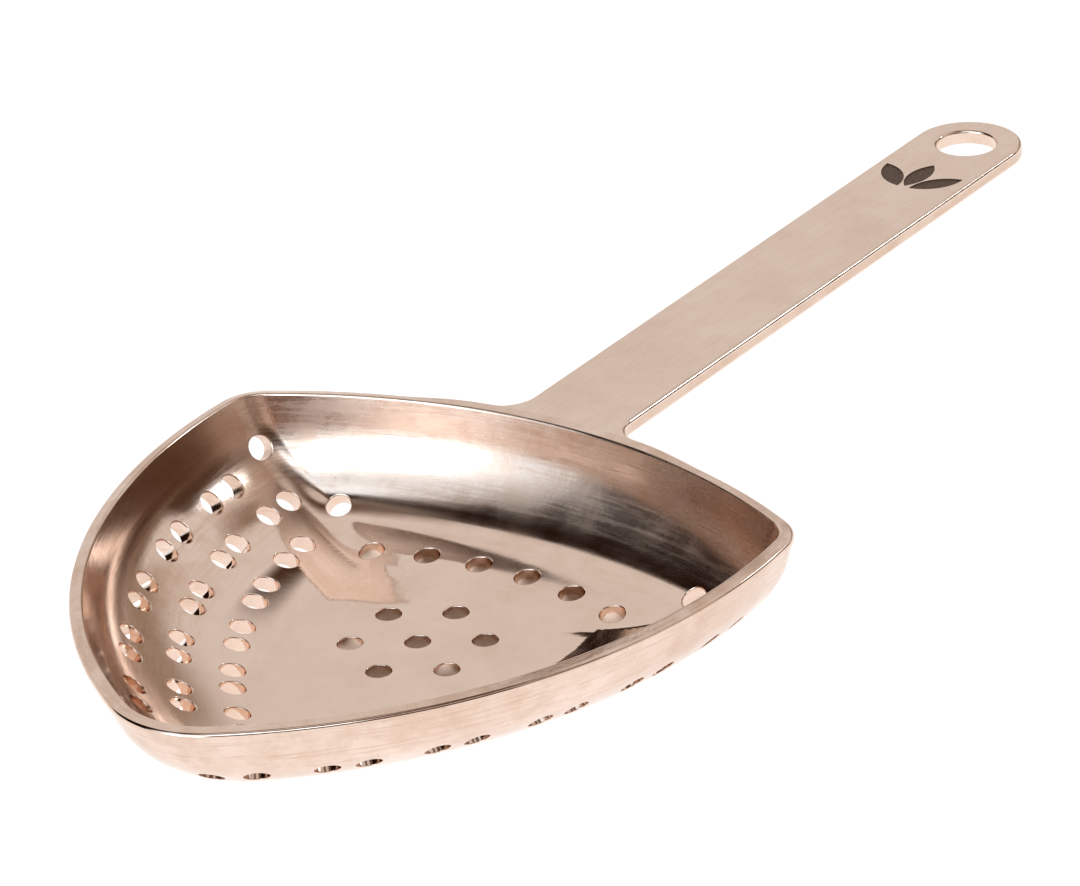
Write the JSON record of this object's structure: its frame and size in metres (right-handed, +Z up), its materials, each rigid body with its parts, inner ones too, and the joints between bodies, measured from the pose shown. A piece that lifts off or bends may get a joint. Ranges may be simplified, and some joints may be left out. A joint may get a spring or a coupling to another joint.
{
  "type": "scoop strainer",
  "caption": "Perforated scoop strainer for bar drinks: a pressed three-sided bowl with a pouring tip and a flat bar handle with a hanging hole.",
  "frame": {"origin": "on the plane the bowl stands on, under the middle hole of the bowl's floor", "axes": "+X along the handle, away from the pouring tip; +Y across the bowl; +Z up, out of the bowl"},
  "size_m": [0.179, 0.08, 0.0158],
  "materials": {
    "bowl_metal": "polished rose-copper plating",
    "handle_metal": "polished rose-copper plating",
    "weld_metal": "polished rose-copper plating"
  },
  "bodies": {
    "root": {"bowl": "bowl_metal", "handle": "handle_metal", "weld_bead": "weld_metal"}
  },
  "joints": []
}
